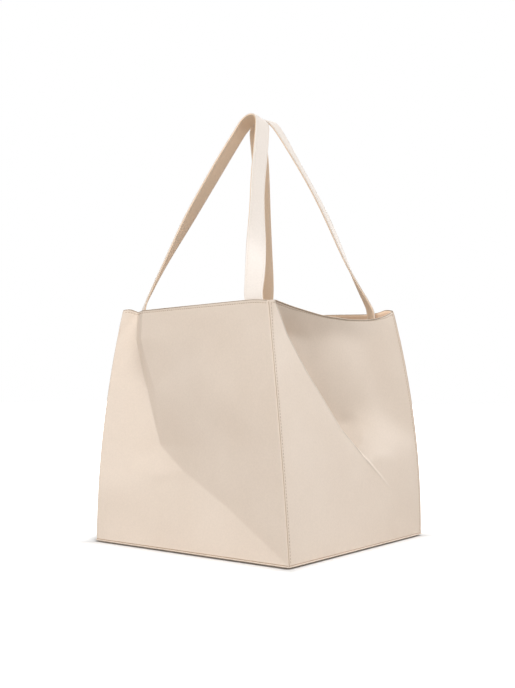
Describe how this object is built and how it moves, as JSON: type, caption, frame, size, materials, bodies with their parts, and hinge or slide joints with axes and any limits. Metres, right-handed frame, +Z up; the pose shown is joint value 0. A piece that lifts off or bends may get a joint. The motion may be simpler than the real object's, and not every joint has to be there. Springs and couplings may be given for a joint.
{
  "type": "trapeze bag",
  "caption": "Open-top box-shaped leather tote with a twisted, drawn-in rim, folded walls and two raised shoulder straps.",
  "frame": {"origin": "centre of the sole's underside, on the surface that the bag stands on", "axes": "+Z up, +Y from the front panel (left in the picture) to the back, +X towards the side panel that is right in the picture"},
  "size_m": [0.3202, 0.3142, 0.5786],
  "materials": {
    "outer_leather": "smooth, softly matt",
    "inner_leather": "matt, natural tan",
    "lining": "matt woven",
    "board": "matt"
  },
  "bodies": {
    "bag": {"front_wall": "outer_leather", "back_wall": "outer_leather", "left_wall": "outer_leather", "right_wall": "outer_leather", "front_facing": "inner_leather", "back_facing": "inner_leather", "left_facing": "inner_leather", "right_facing": "inner_leather", "front_lining": "lining", "back_lining": "lining", "left_lining": "lining", "right_lining": "lining", "sole": "outer_leather", "welt": "outer_leather", "base_board": "board", "base_lining": "lining", "front_strap_ends": "inner_leather", "back_strap_ends": "inner_leather", "front_end_patches": "inner_leather", "back_end_patches": "inner_leather"},
    "front_handle": {"front_handle_outer": "outer_leather", "front_handle_inner": "inner_leather"},
    "back_handle": {"back_handle_outer": "outer_leather", "back_handle_inner": "inner_leather"}
  },
  "joints": [
    {"name": "front_handle_fold", "type": "hinge", "parent": "bag", "child": "front_handle", "pos_m": [-0.01058, -0.12435, 0.316], "axis": [0.9945, -0.1048, 0], "range_deg": [0, 110]},
    {"name": "back_handle_fold", "type": "hinge", "parent": "bag", "child": "back_handle", "pos_m": [0.00418, 0.11955, 0.316], "axis": [-0.9945, 0.1048, 0], "range_deg": [0, 110]}
  ]
}
